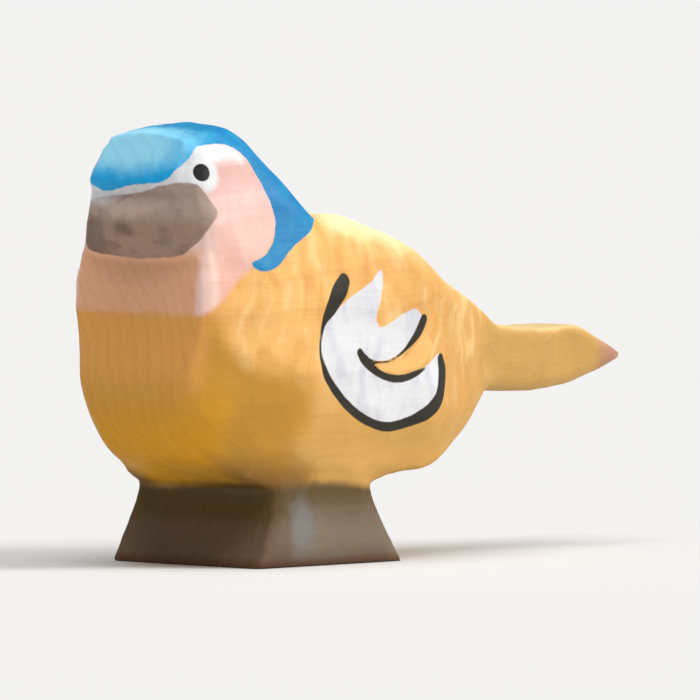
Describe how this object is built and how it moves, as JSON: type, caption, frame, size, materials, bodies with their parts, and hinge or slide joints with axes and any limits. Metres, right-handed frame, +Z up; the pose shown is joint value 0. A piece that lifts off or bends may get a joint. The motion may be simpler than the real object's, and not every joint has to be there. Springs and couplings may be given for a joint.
{
  "type": "chaffinch wood carving",
  "caption": "Small painted wood carving of a chaffinch, sawn in side profile with a flat face and a level tail, standing on a flared foot of the same wood.",
  "frame": {"origin": "centre of the foot's underside", "axes": "+Z up, -X the way the bird faces, +X towards the tail, Y across the board that it is sawn from"},
  "size_m": [0.071, 0.0218, 0.0446],
  "materials": {
    "painted_wood": "thin hand-painted glaze over pale wood, semi-matt: ochre body, blue crown and nape, pale pink cheek, grey-brown bill, white and black wing bars, dark brown foot; tool marks and grain show through"
  },
  "bodies": {
    "root": {"chaffinch": "painted_wood"}
  },
  "joints": []
}
